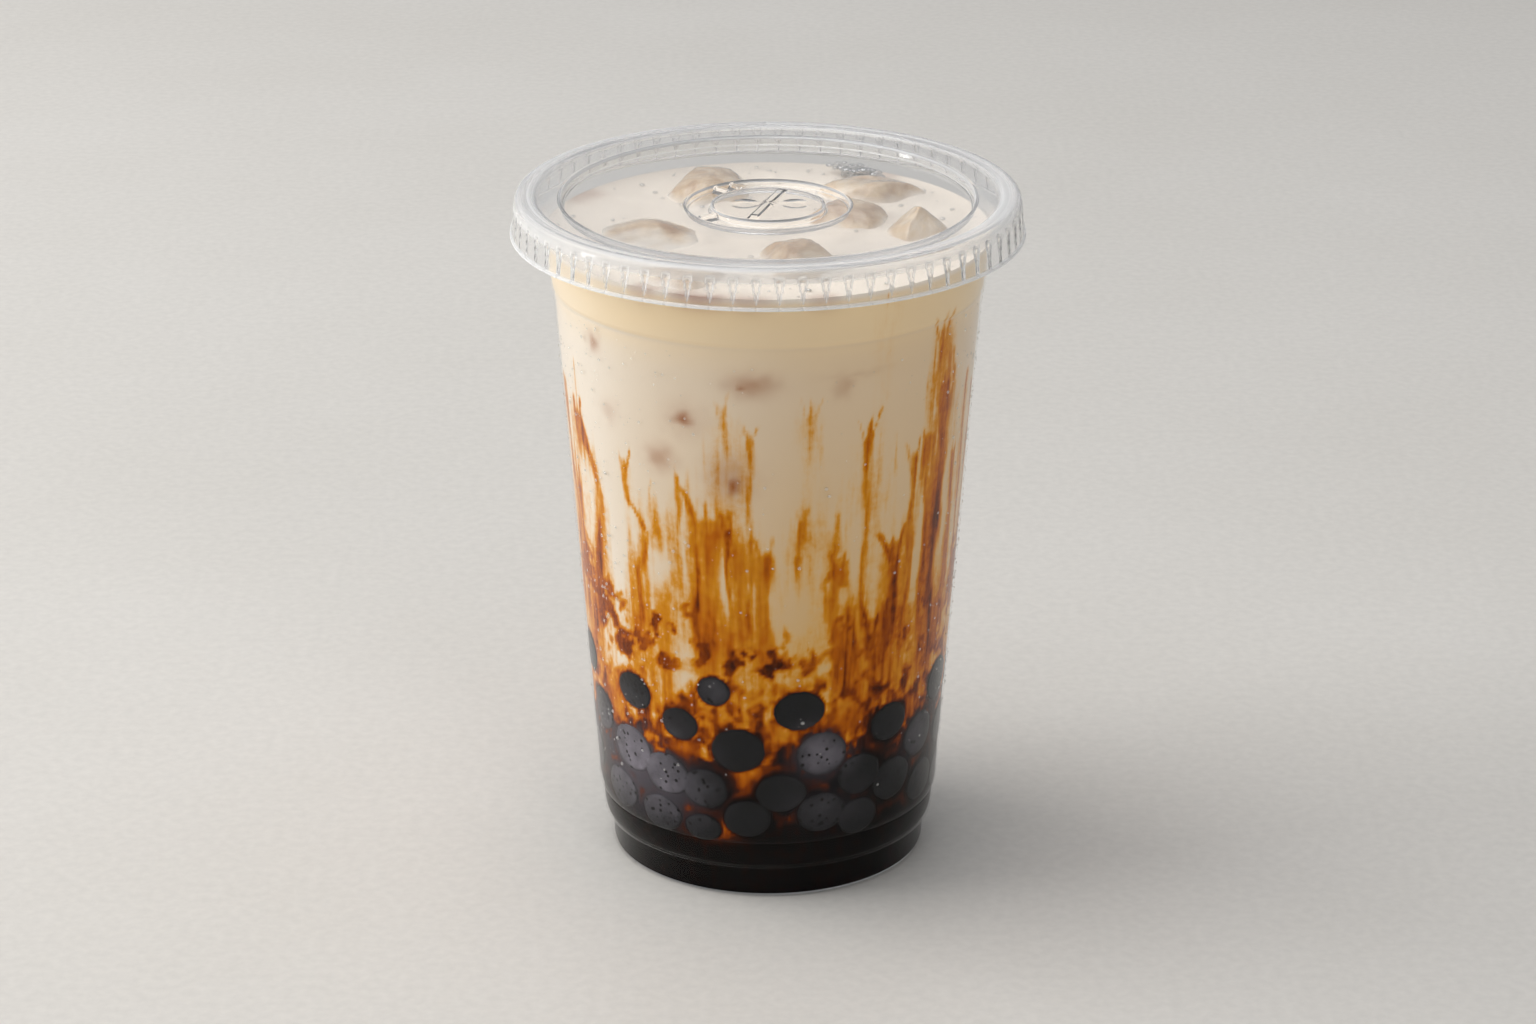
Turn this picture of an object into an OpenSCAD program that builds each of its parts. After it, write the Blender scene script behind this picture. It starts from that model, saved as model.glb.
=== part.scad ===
// Iced milk tea with tapioca pearls, in a clear cold-drink cup with a flat press-fit lid.
// Millimetres, +Z up, the origin at the middle of the foot. Angles run from the front (-Y) towards +X.

/* [Cup] */
// Height from the foot to the top of the rolled rim
cup_h = 140.2; // [110:0.1:170]
// Diameter over the rolled rim
rim_d = 98.1; // [80:0.1:120]
// Diameter of the foot
foot_d = 65.8; // [52:0.1:80]
// Thickness of the cup's sheet
wall = 0.5; // [0.4:0.05:0.7]
// Outer radius of the rolled rim's curl
curl_r = 1.3; // [1.05:0.05:1.6]
// How far the rim stands out past the neck
rim_overhang = 5.6; // [4.6:0.1:6.8]
// Height of the plain band over the foot
foot_band_h = 6.8; // [5.5:0.1:8.2]
// Height of the rounded band above it
waist_band_h = 6.1; // [5:0.1:7.4]
// Width of the step between the two bands
band_step = 0.85; // [0.7:0.05:1.05]
// Rise of the floor inside the foot ring
push_up = 1.5; // [1.2:0.1:1.8]
// Width of the ring that the cup stands on
foot_ring_w = 5; // [4:0.1:6]
// Distance of the stacking ring below the rim
stack_ring_drop = 18; // [14:0.5:22]

/* [Lid] */
// Thickness of the lid's sheet
lid_wall = 0.5; // [0.4:0.05:0.6]
// Height of the lid from the skirt's edge to the top of the bead
lid_h = 8; // [6.8:0.1:9.6]
// Room between the rim and the skirt
skirt_room = 1.45; // [1.2:0.05:1.8]
// How much wider the skirt is at its edge
skirt_flare = 0.8; // [0.6:0.05:1]
// Width of the bead over the rim
bead_w = 4.9; // [4.3:0.1:5.3]
// Width of the flat ledge inside the bead
ledge_w = 4.6; // [3.8:0.1:5.6]
// Depth of the middle panel below the ledge
recess_depth = 1.9; // [1.5:0.1:2.3]
// Number of V-shaped flutes round the skirt
flute_count = 72; // [60:1:84]
// Width of a flute at its top
flute_w = 1.7; // [1.4:0.1:2]
// Height of a flute
flute_h = 4.6; // [3.8:0.1:5]
// Diameter of the ring groove in the panel
groove_d = 33; // [27:0.5:40]
// Width of the ring groove
groove_w = 5; // [4:0.1:6]
// Depth of the ring groove
groove_depth = 1.3; // [1:0.1:1.6]

/* [Contents] */
// Distance of the drink's surface below the rim
headspace = 7.7; // [7:0.1:9.5]
// Clearance between the contents, and between them and the cup
fit_gap = 0.05; // [0.04:0.01:0.06]
// Diameter of a pearl
pearl_d = 10.8; // [9:0.1:13]
// Height of the packed pearls from the floor of the cup
heap_h = 26; // [21:0.5:32]
// Mean edge of a lump of ice
ice_edge = 15; // [12:0.5:18]

/* [Hidden] */
$fn = 96;
STRAYS = ["pearl_1", "pearl_2", "pearl_3", "pearl_4", "pearl_5", "pearl_6", "pearl_7", "pearl_8"];
LUMPS = ["ice_1", "ice_2", "ice_3", "ice_4", "ice_5", "ice_6", "ice_7", "ice_8"];

foot_r = foot_d / 2;
foot_round = 0.8;                         // rounding of the foot's edge
foot_band_draft = 0.25;                   // the lower band widens by this much upwards
waist_z = foot_band_h + waist_band_h;     // where the body starts
waist_r = foot_r + foot_band_draft + band_step + 0.95;
body_foot_round = [0.8, 4];               // how the body's lower end curves in
body_r0 = waist_r + 0.7;
body_z0 = waist_z + body_foot_round[1];
neck_z = cup_h - stack_ring_drop;
neck_r = rim_d / 2 - rim_overhang;
stack_step = 0.4;                         // outward step of the stacking ring
curl_c = [rim_d / 2 - curl_r, cup_h - curl_r];
shoulder = [curl_c[0] - curl_r + wall - 1.5, curl_c[1] - 3.6];

bead_top = cup_h + 0.3 + lid_wall;        // the lid's underside clears the rim by 0.3
skirt_z = bead_top - lid_h;
skirt_r = rim_d / 2 + skirt_room + lid_wall;
ledge_z = bead_top - 0.7;
panel_z = ledge_z - recess_depth;
recess_r = skirt_r - bead_w - ledge_w;
groove_r = groove_d / 2;
draft = 0.3;                              // taper of the lid's small walls
flute_depth = 0.3;
dimple_d = 6;
dimple_depth = 0.2;

level = cup_h - headspace;
floor_z = push_up + wall;
heap_z = floor_z + heap_h - 1;            // flat top of the packed core, under the top pearls
press = 0.35;                             // how far a pearl is flattened against the wall
lump_lift = 0.6;                          // from a lump's middle to its top, over its mean size

// Stray pearls: [angle, height of the middle above the packed core, diameter]
stray = [[-78, 17, 10.2], [-47, 16, 9.8], [-29, 13, 9.4], [-14, 20.5, 9], [10, 16.5, 10.8],
         [42, 12, 10.6], [70, 14.5, 10.4], [150, 14, 10.4]];
// Ice: [angle, distance in from the wall, [length, width, depth] over the mean edge,
//       tilt, turn, height above the drink]
lump = [[-154, 14.5, [1.2, 1.0, 1.05], 24, 20, 4.0], [138, 12, [1.35, 0.95, 1.0], 14, 35, 4.2],
        [112, 26, [0.95, 0.8, 0.8], 22, -20, 3.2], [86, 13.6, [0.85, 0.9, 1.1], 38, 50, 4.7],
        [14, 20.5, [1.0, 0.9, 0.9], 28, 8, 3.8], [-78, 19.6, [1.35, 1.25, 0.9], 9, 15, 3.0],
        [-170, 8.5, [1.1, 0.65, 0.8], 8, 8, 1.4], [-30, 10.2, [1.2, 0.8, 1.0], 12, -28, 3.6]];

function arc(c, r, from, to, n) =
    [for (i = [0:n]) let (a = from + (to - from) * i / n) c + r * [cos(a), sin(a)]];
// A quarter ellipse that leaves p level and ends upright, a wider and b higher
function flank(p, a, b, n) =
    [for (i = [0:n]) p + [a * sin(90 * i / n), b * (1 - cos(90 * i / n))]];
function left_of(a, b) = let (d = b - a) [-d[1], d[0]] / norm(d);
// The outline moved t to its left, with mitred corners
function moved(p, t) = [for (i = [0:len(p) - 1])
    let (n1 = left_of(p[max(i - 1, 0)], p[max(i, 1)]),
         n2 = left_of(p[min(i, len(p) - 2)], p[min(i + 1, len(p) - 1)]))
    p[i] + t * (n1 + n2) / (1 + n1 * n2)];
function reversed(p) = [for (i = [len(p) - 1:-1:0]) p[i]];
function inner_r(z) = body_r0 + (neck_r - body_r0) * (z - body_z0) / (neck_z - body_z0) - wall;
// Where an outline that rises past its first points crosses a height
function crossing(p, z) = [for (i = [3:len(p) - 2]) if (p[i][1] <= z && p[i + 1][1] > z)
    p[i] + (p[i + 1] - p[i]) * (z - p[i][1]) / (p[i + 1][1] - p[i][1])][0];

// Outer side of the cup, from the middle of the floor to below the curl
cup_side = concat(
    [[0, push_up], [foot_r - foot_ring_w - push_up, push_up], [foot_r - foot_ring_w, 0]],
    arc([foot_r - foot_round, foot_round], foot_round, -90, 0, 4),
    [[foot_r + foot_band_draft, foot_band_h - 0.15]],
    flank([foot_r + foot_band_draft + band_step, foot_band_h + 0.15], 0.95, waist_band_h - 0.6, 5),
    [[waist_r, waist_z - 0.25]],
    flank([waist_r - 0.1, waist_z], body_foot_round[0], body_foot_round[1], 5),
    [[neck_r, neck_z], [neck_r + stack_step, neck_z + 0.3], shoulder,
     [curl_c[0] - curl_r + wall - 0.05, curl_c[1] - 0.6]]);
// Upper side of the lid, from the skirt's edge to the middle
lid_side = concat(
    [[skirt_r + skirt_flare, skirt_z], [skirt_r + skirt_flare, skirt_z + 0.4],
     [skirt_r + skirt_flare - 0.35, skirt_z + 0.75], [skirt_r, bead_top - 1.95]],
    arc([skirt_r - 1.6, bead_top - 1.5], 1.5, 0, 90, 6),
    [[skirt_r - 2.5, bead_top - 0.12]],
    arc([skirt_r - bead_w + 1.3, bead_top - 1], 1, 90, 150, 3),
    [[skirt_r - bead_w, ledge_z], [recess_r, ledge_z], [recess_r - draft, panel_z],
     [groove_r, panel_z], [groove_r - draft, panel_z - groove_depth],
     [groove_r - groove_w + draft, panel_z - groove_depth], [groove_r - groove_w, panel_z],
     [0, panel_z]]);

module cup() {
    curl = arc(curl_c, curl_r - wall, 180, -70, 10);
    side = concat(cup_side, curl);
    color("aliceblue", 0.35) rotate_extrude() polygon(concat(side, reversed(moved(side, wall))));
}

module flute() {
    top = bead_top - 2.2;
    rotate([90, 0, 0]) translate([0, 0, skirt_r - flute_depth])
        linear_extrude(3) polygon([[-flute_w / 2, top], [0, top - flute_h], [flute_w / 2, top]]);
}

module lid() {
    color("white", 0.35) union() {
        difference() {
            rotate_extrude() polygon(concat(lid_side, reversed(moved(lid_side, lid_wall))));
            for (i = [0:flute_count - 1]) rotate(360 * (i + 0.5) / flute_count) flute();
            // Two shallow round dimples in the middle
            for (x = [-4.6, 5.4]) translate([x, 0, panel_z - dimple_depth]) cylinder(d = dimple_d, h = 1);
        }
        // A low welt between the dimples
        rotate(-17) translate([-1, -groove_r + groove_w + 2, panel_z - lid_wall / 2])
            cube([2, 2 * (groove_r - groove_w - 2), lid_wall / 2 + 0.3]);
        // Short walls across the ring groove
        for (a = [-138, -152, -58]) rotate(a)
            translate([-0.4, -groove_r - 0.05, panel_z - groove_depth - lid_wall / 2])
                cube([0.8, groove_w + 0.1, groove_depth]);
    }
}

// The room inside the cup up to a height, clear of the sheet by gap
module room_below(z, gap) {
    side = moved(cup_side, wall + gap);
    rotate_extrude() polygon(concat([for (p = side) if (p[1] < z) p], [crossing(side, z), [0, z]]));
}

// The same room between two heights over the foot
module room_between(z0, z1, gap) {
    side = moved(cup_side, wall + gap);
    rotate_extrude() polygon(concat([[0, z0], crossing(side, z0)],
        [for (p = side) if (p[1] > z0 && p[1] < z1) p], [crossing(side, z1), [0, z1]]));
}

module at_wall(angle, z, inset) {
    rotate(angle) translate([0, inset - inner_r(z), z]) children();
}

// The top pearls of the packed bed, in three rings at uneven heights
module top_pearls(gap) {
    for (ring = [0:2]) {
        r = inner_r(heap_z) - pearl_d / 2 - 0.3 - ring * (pearl_d + 0.5);
        n = floor(180 / asin((pearl_d + 0.4) / (2 * r)));
        lift = rands(0.2, 4.6, n, 770 + ring);
        for (i = [0:n - 1]) rotate(360 * (i + 0.35 * ring) / n)
            translate([0, -r, heap_z + lift[i]]) sphere(d = pearl_d - ring * 0.2 + 2 * gap);
    }
}

module stray_pearl(i, gap) {
    z = heap_z + stray[i][1];
    at_wall(stray[i][0], z, stray[i][2] / 2 - press) sphere(d = stray[i][2] + 2 * gap);
}

// A lump is a block with its corners knocked off: the room that three turned blocks share
module ice_lump(i, gap) {
    edges = ice_edge * lump[i][2] + 2 * gap * [1, 1, 1];
    rise = lump_lift * ice_edge * (lump[i][2][0] + lump[i][2][2]) / 2;
    at_wall(lump[i][0], level, lump[i][1]) translate([0, 0, lump[i][5] - rise])
        rotate([lump[i][3], lump[i][3] / 2, lump[i][4]]) intersection() {
            cube(edges, center = true);
            rotate([41, 17, 43]) cube(1.17 * edges, center = true);
            rotate([-33, 47, 12]) cube(1.21 * edges, center = true);
        }
}

module pearl_bed() {
    color("#241a16") union() {
        room_below(heap_z, fit_gap);
        top_pearls(0);
    }
}

module milk_tea() {
    color("#cfae80") difference() {
        room_between(heap_z + fit_gap, level, fit_gap);
        top_pearls(fit_gap);
        for (i = [0:len(STRAYS) - 1]) stray_pearl(i, fit_gap);
        for (i = [0:len(LUMPS) - 1]) ice_lump(i, fit_gap);
    }
}

module pearl(i) {
    color("#2b211d") difference() {
        intersection() {
            room_between(heap_z, neck_z, fit_gap);
            stray_pearl(i, 0);
        }
        for (j = [0:1:i - 1]) stray_pearl(j, fit_gap);
    }
}

module ice(i) {
    color("#e6d3b8") difference() {
        ice_lump(i, 0);
        for (j = [0:1:i - 1]) ice_lump(j, fit_gap);
    }
}

cup();
lid();
milk_tea();
pearl_bed();
for (i = [0:len(STRAYS) - 1]) pearl(i);
for (i = [0:len(LUMPS) - 1]) ice(i);
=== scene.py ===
import math
import random
from types import SimpleNamespace
import bmesh
import bpy
import numpy as np
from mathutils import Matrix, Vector, noise


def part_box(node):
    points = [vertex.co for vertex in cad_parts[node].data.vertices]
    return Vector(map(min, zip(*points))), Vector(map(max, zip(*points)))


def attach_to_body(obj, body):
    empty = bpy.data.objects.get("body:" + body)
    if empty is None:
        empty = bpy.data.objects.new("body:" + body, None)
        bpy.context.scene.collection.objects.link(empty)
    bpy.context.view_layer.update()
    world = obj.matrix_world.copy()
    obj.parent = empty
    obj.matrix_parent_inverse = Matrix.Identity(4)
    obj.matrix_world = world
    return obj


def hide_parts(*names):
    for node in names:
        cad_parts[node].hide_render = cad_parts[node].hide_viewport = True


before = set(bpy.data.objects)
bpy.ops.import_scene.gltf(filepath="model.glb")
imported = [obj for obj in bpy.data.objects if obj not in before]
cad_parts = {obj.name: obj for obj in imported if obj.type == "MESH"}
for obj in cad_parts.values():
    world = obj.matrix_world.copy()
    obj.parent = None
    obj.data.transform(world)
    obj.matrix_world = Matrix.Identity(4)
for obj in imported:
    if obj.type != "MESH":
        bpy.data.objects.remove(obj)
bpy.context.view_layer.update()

mm = 0.001
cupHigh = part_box("cup")[1]
lidLow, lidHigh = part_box("lid")
drinkLow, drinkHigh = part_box("milk_tea")
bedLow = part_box("pearl_bed")[0]
iceNames = sorted(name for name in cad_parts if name.startswith("ice_"))
pearlNames = sorted(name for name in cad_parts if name[:6] == "pearl_" and name[6:].isdigit())


def rgb(red, green, blue):  # a screen colour, 0 to 255, as Blender's linear one
    shares = [c / 255 for c in (red, green, blue)]
    return tuple(c / 12.92 if c <= 0.04045 else ((c + 0.055) / 1.055) ** 2.4 for c in shares) + (1,)


def newMaterial(name):
    material = bpy.data.materials.new(name)
    material.use_nodes = True
    material.node_tree.nodes.clear()
    return material, material.node_tree


def addNode(tree, kind, inputs=None, **settings):
    node = tree.nodes.new("ShaderNode" + kind)
    for name, value in settings.items():
        setattr(node, name, value)
    for name, value in (inputs or {}).items():
        if isinstance(value, bpy.types.NodeSocket):
            tree.links.new(value, node.inputs[name])
        else:
            node.inputs[name].default_value = value
    return node


def finishMaterial(tree, shader):
    output = tree.nodes.new("ShaderNodeOutputMaterial")
    tree.links.new(shader.outputs[0], output.inputs["Surface"])


def math2(tree, operation, first, second, third=None, clamp=False):
    inputs = {0: first, 1: second}
    if third is not None:
        inputs[2] = third
    return addNode(tree, "Math", inputs, operation=operation, use_clamp=clamp).outputs[0]


def colourRamp(tree, source, stops, smooth=False):
    ramp = addNode(tree, "ValToRGB", {"Fac": source})
    ramp.color_ramp.interpolation = "EASE" if smooth else "LINEAR"
    points = ramp.color_ramp.elements
    while len(points) < len(stops):
        points.new(0.5)
    for point, (place, colour) in zip(points, stops):
        point.position = place
        point.color = colour
    return ramp.outputs["Color"]


def mixColour(tree, share, first, second, blend="MIX"):
    inputs = {0: share, 6: first, 7: second}  # 6 and 7 are the node's colour sockets, and 2 its colour output
    return addNode(tree, "Mix", inputs, data_type="RGBA", blend_type=blend).outputs[2]


def cloudNoise(tree, place, scale, detail, roughness=0.5, distortion=0.0):
    inputs = {"Vector": place, "Scale": scale, "Detail": detail, "Roughness": roughness,
              "Distortion": distortion}
    return addNode(tree, "TexNoise", inputs).outputs["Fac"]


def filmMaterial(name, tint, slant, most, least, roughness):  # clear, with more gloss the more it slants
    material, tree = newMaterial(name)
    facing = addNode(tree, "LayerWeight", {"Blend": 0.5}).outputs["Facing"]
    share = math2(tree, "MULTIPLY_ADD", math2(tree, "POWER", facing, slant), most, least, clamp=True)
    clear = addNode(tree, "BsdfTransparent", {"Color": tint})
    gloss = addNode(tree, "BsdfGlossy", {"Color": (1, 1, 1, 1), "Roughness": roughness})
    finishMaterial(tree, addNode(tree, "MixShader", {0: share, 1: clear.outputs[0], 2: gloss.outputs[0]}))
    return material


def painted(tree, name):  # a value that paint() laid on the piece
    return addNode(tree, "Attribute", attribute_name=name).outputs["Fac"]


def arcPoints(centre, radius, start, end, steps):
    turns = np.radians(np.linspace(start, end, steps + 1))
    return [(centre[0] + radius * math.cos(t), centre[1] + radius * math.sin(t), 0) for t in turns]


def flankPoints(start, wide, high, steps):  # a quarter ellipse that leaves level and ends upright
    return [(start[0] + wide * math.sin(t), start[1] + high * (1 - math.cos(t)), 0)
            for t in np.linspace(0, math.pi / 2, steps + 1)]


def movedLeft(corners, distance):  # corners are (radius, height, rounding), and left is as one walks them
    places = [np.array(c[:2]) for c in corners]

    def leftOf(a, b):
        d = (b - a) / np.linalg.norm(b - a)
        return np.array([-d[1], d[0]])
    last = len(places) - 1
    result = []
    for i, p in enumerate(places):
        one = leftOf(places[max(i - 1, 0)], places[max(i, 1)])
        two = leftOf(places[min(i, last - 1)], places[min(i + 1, last)])
        q = p + distance * (one + two) / (1 + one @ two)
        result.append((q[0], q[1], corners[i][2]))
    return result


def softened(corners, steps=4):  # each corner with a rounding becomes a short curve
    points = [np.array(corners[0][:2])]
    for before, here, after in zip(corners, corners[1:], corners[2:]):
        p = np.array(here[:2])
        if not here[2]:
            points.append(p)
            continue
        back, ahead = np.array(before[:2]) - p, np.array(after[:2]) - p
        first = p + back * min(here[2] / np.linalg.norm(back), 0.48)
        last = p + ahead * min(here[2] / np.linalg.norm(ahead), 0.48)
        for t in np.linspace(0, 1, steps + 1):
            points.append((1 - t) ** 2 * first + 2 * t * (1 - t) * p + t * t * last)
    points.append(np.array(corners[-1][:2]))
    return points


def sheetLoop(corners, wall):  # both faces of a formed sheet, as one closed outline
    return softened(corners) + softened(movedLeft(corners, wall))[::-1]


def spin(name, outline, angles, closed, bend=None):  # outline in millimetres, angles from the front
    outline = np.array([p[:2] for p in outline])
    angles = np.array(angles)
    radius = np.repeat(outline[None, :, 0], len(angles), 0)
    height = np.repeat(outline[None, :, 1], len(angles), 0)
    turn = np.repeat(angles[:, None], len(outline), 1)
    if bend:
        radius, height = bend(radius, height, turn)
    places = np.stack([radius * np.sin(turn), -radius * np.cos(turn), height], -1).reshape(-1, 3) * mm
    count, around = len(outline), len(angles)
    rows = np.arange(count if closed else count - 1)
    i, j = np.meshgrid(np.arange(around), rows, indexing="ij")
    up, along = (j + 1) % count, (i + 1) % around
    here, there = i * count, along * count
    faces = np.stack([here + j, there + j, there + up, here + up], -1).reshape(-1, 4)
    return solidFrom(name, places, faces)


def solidFrom(name, places, faces):
    rough = bpy.data.meshes.new("rough")
    rough.from_pydata(places.tolist(), [], faces.tolist())
    body = bmesh.new()
    body.from_mesh(rough)
    bpy.data.meshes.remove(rough)
    bmesh.ops.remove_doubles(body, verts=body.verts, dist=1e-6)
    bmesh.ops.dissolve_degenerate(body, edges=body.edges, dist=1e-7)
    bmesh.ops.recalc_face_normals(body, faces=body.faces)
    return smoothPiece(name, body)


def smoothPiece(name, body):  # the finished body as a linked object
    mesh = bpy.data.meshes.new(name)
    body.to_mesh(mesh)
    body.free()
    mesh.shade_smooth()
    piece = bpy.data.objects.new(name, mesh)
    bpy.context.scene.collection.objects.link(piece)
    return piece


def placesOf(piece):
    places = np.zeros(len(piece.data.vertices) * 3, np.float32)
    piece.data.vertices.foreach_get("co", places)
    return places.reshape(-1, 3).astype(float)


def onWall(places):  # degrees round from the front, and height in millimetres
    return np.degrees(np.arctan2(places[:, 0], -places[:, 1])), places[:, 2] / mm


def roundCup(turn, away, height):  # a place from its turn in radians, distance from the axis and height
    return Vector((away * math.sin(turn), -away * math.cos(turn), height))


def paint(piece, name, values):
    layer = piece.data.attributes.new(name, "FLOAT", "POINT")
    layer.data.foreach_set("value", np.asarray(values, np.float32))


def attach(piece, material, slotName, *nodes):
    piece.data.materials.clear()
    piece.data.materials.append(material)
    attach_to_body(piece, "root")
    if nodes:
        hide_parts(*nodes)
    print("made", piece.name, len(piece.data.polygons), "faces")


def noiseAt(places, seed, scale=(1, 1, 1)):  # smooth noise from about -1 to 1 at each place
    shift = Vector((seed * 17.3, seed * 5.1, seed * 9.7))
    scale = np.array(scale)
    return np.array([noise.noise(Vector(p) + shift) for p in (places * scale).tolist()]) * 1.6


camera = {"back": 820.1, "up": 393.8, "pitch": 21.43, "lens": 100.15, "sensor": 36}  # mm and degrees
studio = {
    "floor": rgb(213, 209, 202), "floorVein": rgb(224, 221, 216), "floorHalf": 6,
    "frontRoom": (0.58, 0.56, 0.53, 1), "backRoom": (0.80, 0.82, 0.86, 1), "worldPower": 0.46,
    "aim": (0, 0, 0.07),  # metres, as are the lamps' places and sizes
}
# A lamp that is out of gloss leaves no glare on the lid
lamps = {
    "windowLight": {"place": (-1.47, 0.195, 0.775), "size": (1.6, 0.68), "power": 20.4,
                    "colour": (1.0, 0.985, 0.96), "inGloss": False},
    "overheadLight": {"place": (-0.35, 0.05, 1.45), "size": (1.5, 1.1), "power": 9.0,
                      "colour": (1, 1, 1), "inGloss": True},
    "sideStrip": {"place": (-1.1, -0.12, 0.15), "size": (0.16, 0.28), "power": 0.8,
                  "colour": (1, 1, 1), "inGloss": True},
    "frontStrip": {"place": (0.62, -1.15, 0.42), "size": (0.45, 0.9), "power": 2.6,
                   "colour": (1, 1, 1), "inGloss": False},
}


def makeCamera():
    data = bpy.data.cameras.new("camera")
    data.lens = camera["lens"]
    data.sensor_width = camera["sensor"]
    data.clip_start = 0.01
    holder = bpy.data.objects.new("camera", data)
    holder.location = (0, -camera["back"] * mm, camera["up"] * mm)
    holder.rotation_euler = (math.radians(90 - camera["pitch"]), 0, 0)
    bpy.context.scene.collection.objects.link(holder)
    bpy.context.scene.camera = holder


def floorMaterial():
    material, tree = newMaterial("palePlaster")
    place = addNode(tree, "TexCoord").outputs["Object"]
    cloud = cloudNoise(tree, place, scale=7.0, detail=8.0, roughness=0.62)
    grain = cloudNoise(tree, place, scale=420.0, detail=3.0)
    tone = mixColour(tree, cloud, studio["floor"], studio["floorVein"])
    fine = colourRamp(tree, grain, [(0.3, (0.93, 0.93, 0.93, 1)), (0.7, (1, 1, 1, 1))])
    tone = mixColour(tree, 1.0, tone, fine, "MULTIPLY")
    bump = addNode(tree, "Bump", {"Height": grain, "Strength": 0.05, "Distance": 0.0004})
    surface = addNode(tree, "BsdfPrincipled", {"Base Color": tone, "Roughness": 0.5,
                                               "Specular IOR Level": 0.3, "Normal": bump.outputs["Normal"]})
    finishMaterial(tree, surface)
    return material


def makeFloor():
    half = studio["floorHalf"]
    corners = [(-half, -half, 0), (half, -half, 0), (half, half, 0), (-half, half, 0)]
    mesh = bpy.data.meshes.new("floor")
    mesh.from_pydata(corners, [], [(0, 1, 2, 3)])
    floor = bpy.data.objects.new("floor", mesh)
    floor.data.materials.append(floorMaterial())
    bpy.context.scene.collection.objects.link(floor)


def makeLamp(name, values):
    data = bpy.data.lights.new(name, "AREA")
    data.shape = "RECTANGLE"
    data.size, data.size_y = values["size"]
    data.energy = values["power"]
    data.color = values["colour"]
    lamp = bpy.data.objects.new(name, data)
    lamp.location = values["place"]
    aim = Vector(studio["aim"]) - Vector(values["place"])
    lamp.rotation_euler = aim.to_track_quat("-Z", "Y").to_euler()
    lamp.visible_glossy = values["inGloss"]
    lamp.visible_transmission = values["inGloss"]
    bpy.context.scene.collection.objects.link(lamp)


def makeLight():
    world = bpy.data.worlds.new("softRoom")
    bpy.context.scene.world = world
    world.use_nodes = True
    tree = world.node_tree
    tree.nodes.clear()
    way = addNode(tree, "SeparateXYZ", {0: addNode(tree, "TexCoord").outputs["Generated"]})
    # the room is dim behind the camera, and lighter beyond the drink, above it and to its left
    light = math2(tree, "MULTIPLY_ADD", way.outputs["Y"], 0.42, 0.45)
    light = math2(tree, "MULTIPLY_ADD", way.outputs["Z"], 0.45, light)
    light = math2(tree, "MULTIPLY_ADD", way.outputs["X"], -0.16, light)
    tone = colourRamp(tree, light, [(0.1, studio["frontRoom"]), (0.75, studio["backRoom"])], smooth=True)
    back = addNode(tree, "Background", {"Color": tone, "Strength": studio["worldPower"]})
    output = tree.nodes.new("ShaderNodeOutputWorld")
    tree.links.new(back.outputs[0], output.inputs["Surface"])
    for name, values in lamps.items():
        makeLamp(name, values)
    bpy.context.scene.view_settings.view_transform = "Standard"


cup = {
    "wall": 0.5, "curl": 1.3, "overhang": 5.6,
    "footRadius": 32.9, "footRing": 5.0, "pushUp": 1.5, "footRound": 0.8,
    "footBand": 6.8, "waistBand": 6.1, "bandStep": 0.85, "bandDraft": 0.25, "waistFlare": 0.95,
    "bodyStep": 0.7, "bodyFootHigh": 4.0,
    "stackDrop": 18.0, "stackStep": 0.4, "segments": 256,
    "tint": (0.985, 0.985, 0.985, 1),
}
cup["height"] = cupHigh.z / mm
cup["rim"] = cupHigh.x / mm
cup["neck"] = cup["rim"] - cup["overhang"]
cup["neckHeight"] = cup["height"] - cup["stackDrop"]
cup["waistHeight"] = cup["footBand"] + cup["waistBand"]
cup["waist"] = cup["footRadius"] + cup["bandDraft"] + cup["bandStep"] + cup["waistFlare"]
cup["bodyFoot"] = cup["waist"] + cup["bodyStep"]
cup["bodyFootHeight"] = cup["waistHeight"] + cup["bodyFootHigh"]


def innerRadius(z):  # inside of the tapered body, millimetres
    share = (z - cup["bodyFootHeight"]) / (cup["neckHeight"] - cup["bodyFootHeight"])
    return cup["bodyFoot"] + (cup["neck"] - cup["bodyFoot"]) * share - cup["wall"]


def cupCorners():
    foot, band = cup["footRadius"], cup["footBand"]
    underCurl = cup["rim"] - 2 * cup["curl"] + cup["wall"]
    return ([(0, cup["pushUp"], 0), (foot - cup["footRing"] - cup["pushUp"], cup["pushUp"], 0.6),
             (foot - cup["footRing"], 0, 0.5)]
            + arcPoints((foot - cup["footRound"], cup["footRound"]), cup["footRound"], -90, 0, 6)
            + [(foot + cup["bandDraft"], band - 0.15, 0.25)]
            + flankPoints((foot + cup["bandDraft"] + cup["bandStep"], band + 0.15), cup["waistFlare"],
                          cup["waistBand"] - 0.6, 8)
            + [(cup["waist"], cup["waistHeight"] - 0.25, 0.12)]
            + flankPoints((cup["waist"] - 0.1, cup["waistHeight"]), 0.8, cup["bodyFootHigh"], 8)
            + [(cup["neck"], cup["neckHeight"], 0.25),
               (cup["neck"] + cup["stackStep"], cup["neckHeight"] + 0.3, 0.3),
               (underCurl - 1.5, cup["height"] - cup["curl"] - 3.6, 1.4),
               (underCurl - 0.05, cup["height"] - cup["curl"] - 0.6, 0.3)])


def makeCup():
    curl = (cup["rim"] - cup["curl"], cup["height"] - cup["curl"])
    corners = cupCorners() + arcPoints(curl, cup["curl"] - cup["wall"], 180, -70, 14)
    angles = np.linspace(0, 2 * math.pi, cup["segments"], endpoint=False)
    piece = spin("cold_cup", sheetLoop(corners, cup["wall"]), angles, True)
    piece.data.set_sharp_from_angle(angle=math.radians(50))
    sheet = filmMaterial("clearCupSheet", cup["tint"], slant=4.5, most=0.8, least=0.007, roughness=0.07)
    attach(piece, sheet, "clear_sheet", "cup")


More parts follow.
